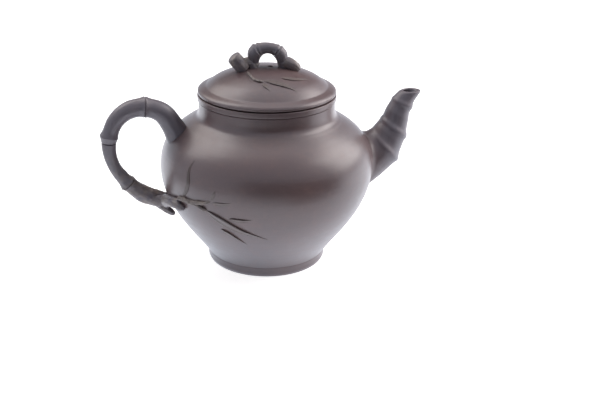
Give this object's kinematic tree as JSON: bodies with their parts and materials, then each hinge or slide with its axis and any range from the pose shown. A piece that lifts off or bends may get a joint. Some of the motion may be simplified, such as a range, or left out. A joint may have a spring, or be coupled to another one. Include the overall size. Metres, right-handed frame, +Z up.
{
  "type": "teapot",
  "caption": "Small round unglazed stoneware teapot with a jointed bamboo-stem handle, spout and bridge knob, relief leaves, and a loose lid that lifts off.",
  "frame": {"origin": "on the surface the teapot stands on, at the middle of its bounding box; the pot's own axis is 0.86 mm towards +X from it", "axes": "+X from the handle to the spout, +Z up along the pot's axis, and the side with the twigs and leaves faces -Y"},
  "size_m": [0.1784, 0.1172, 0.1228],
  "materials": {
    "body_clay": "burnished unglazed stoneware, satin",
    "stem_clay": "carved unglazed stoneware, satin",
    "leaf_clay": "applied unglazed stoneware, satin"
  },
  "bodies": {
    "pot": {"pot_body": "body_clay", "base_disc": "body_clay", "foot_ring": "body_clay", "neck_ring": "body_clay", "mouth_ring": "body_clay", "spout": "stem_clay", "spout_strainer": "body_clay", "handle": "stem_clay", "handle_root": "stem_clay", "twig_low": "leaf_clay", "twig_high": "leaf_clay", "leaf_long": "leaf_clay", "leaf_low": "leaf_clay", "leaf_side": "leaf_clay", "leaf_high": "leaf_clay", "leaf_bud": "leaf_clay", "leaf_spike": "leaf_clay"},
    "lid": {"lid_dome": "body_clay", "lid_rim": "body_clay", "lid_flange": "body_clay", "knob_bridge": "stem_clay", "knob_stump": "stem_clay", "knob_spur": "stem_clay", "lid_twig": "leaf_clay", "lid_leaf_long": "leaf_clay", "lid_leaf_side": "leaf_clay", "lid_leaf_bud": "leaf_clay"}
  },
  "joints": [
    {"name": "lid_lift", "type": "slide", "parent": "pot", "child": "lid", "axis": [0, 0, 1], "range_m": [0, 0.08]}
  ]
}
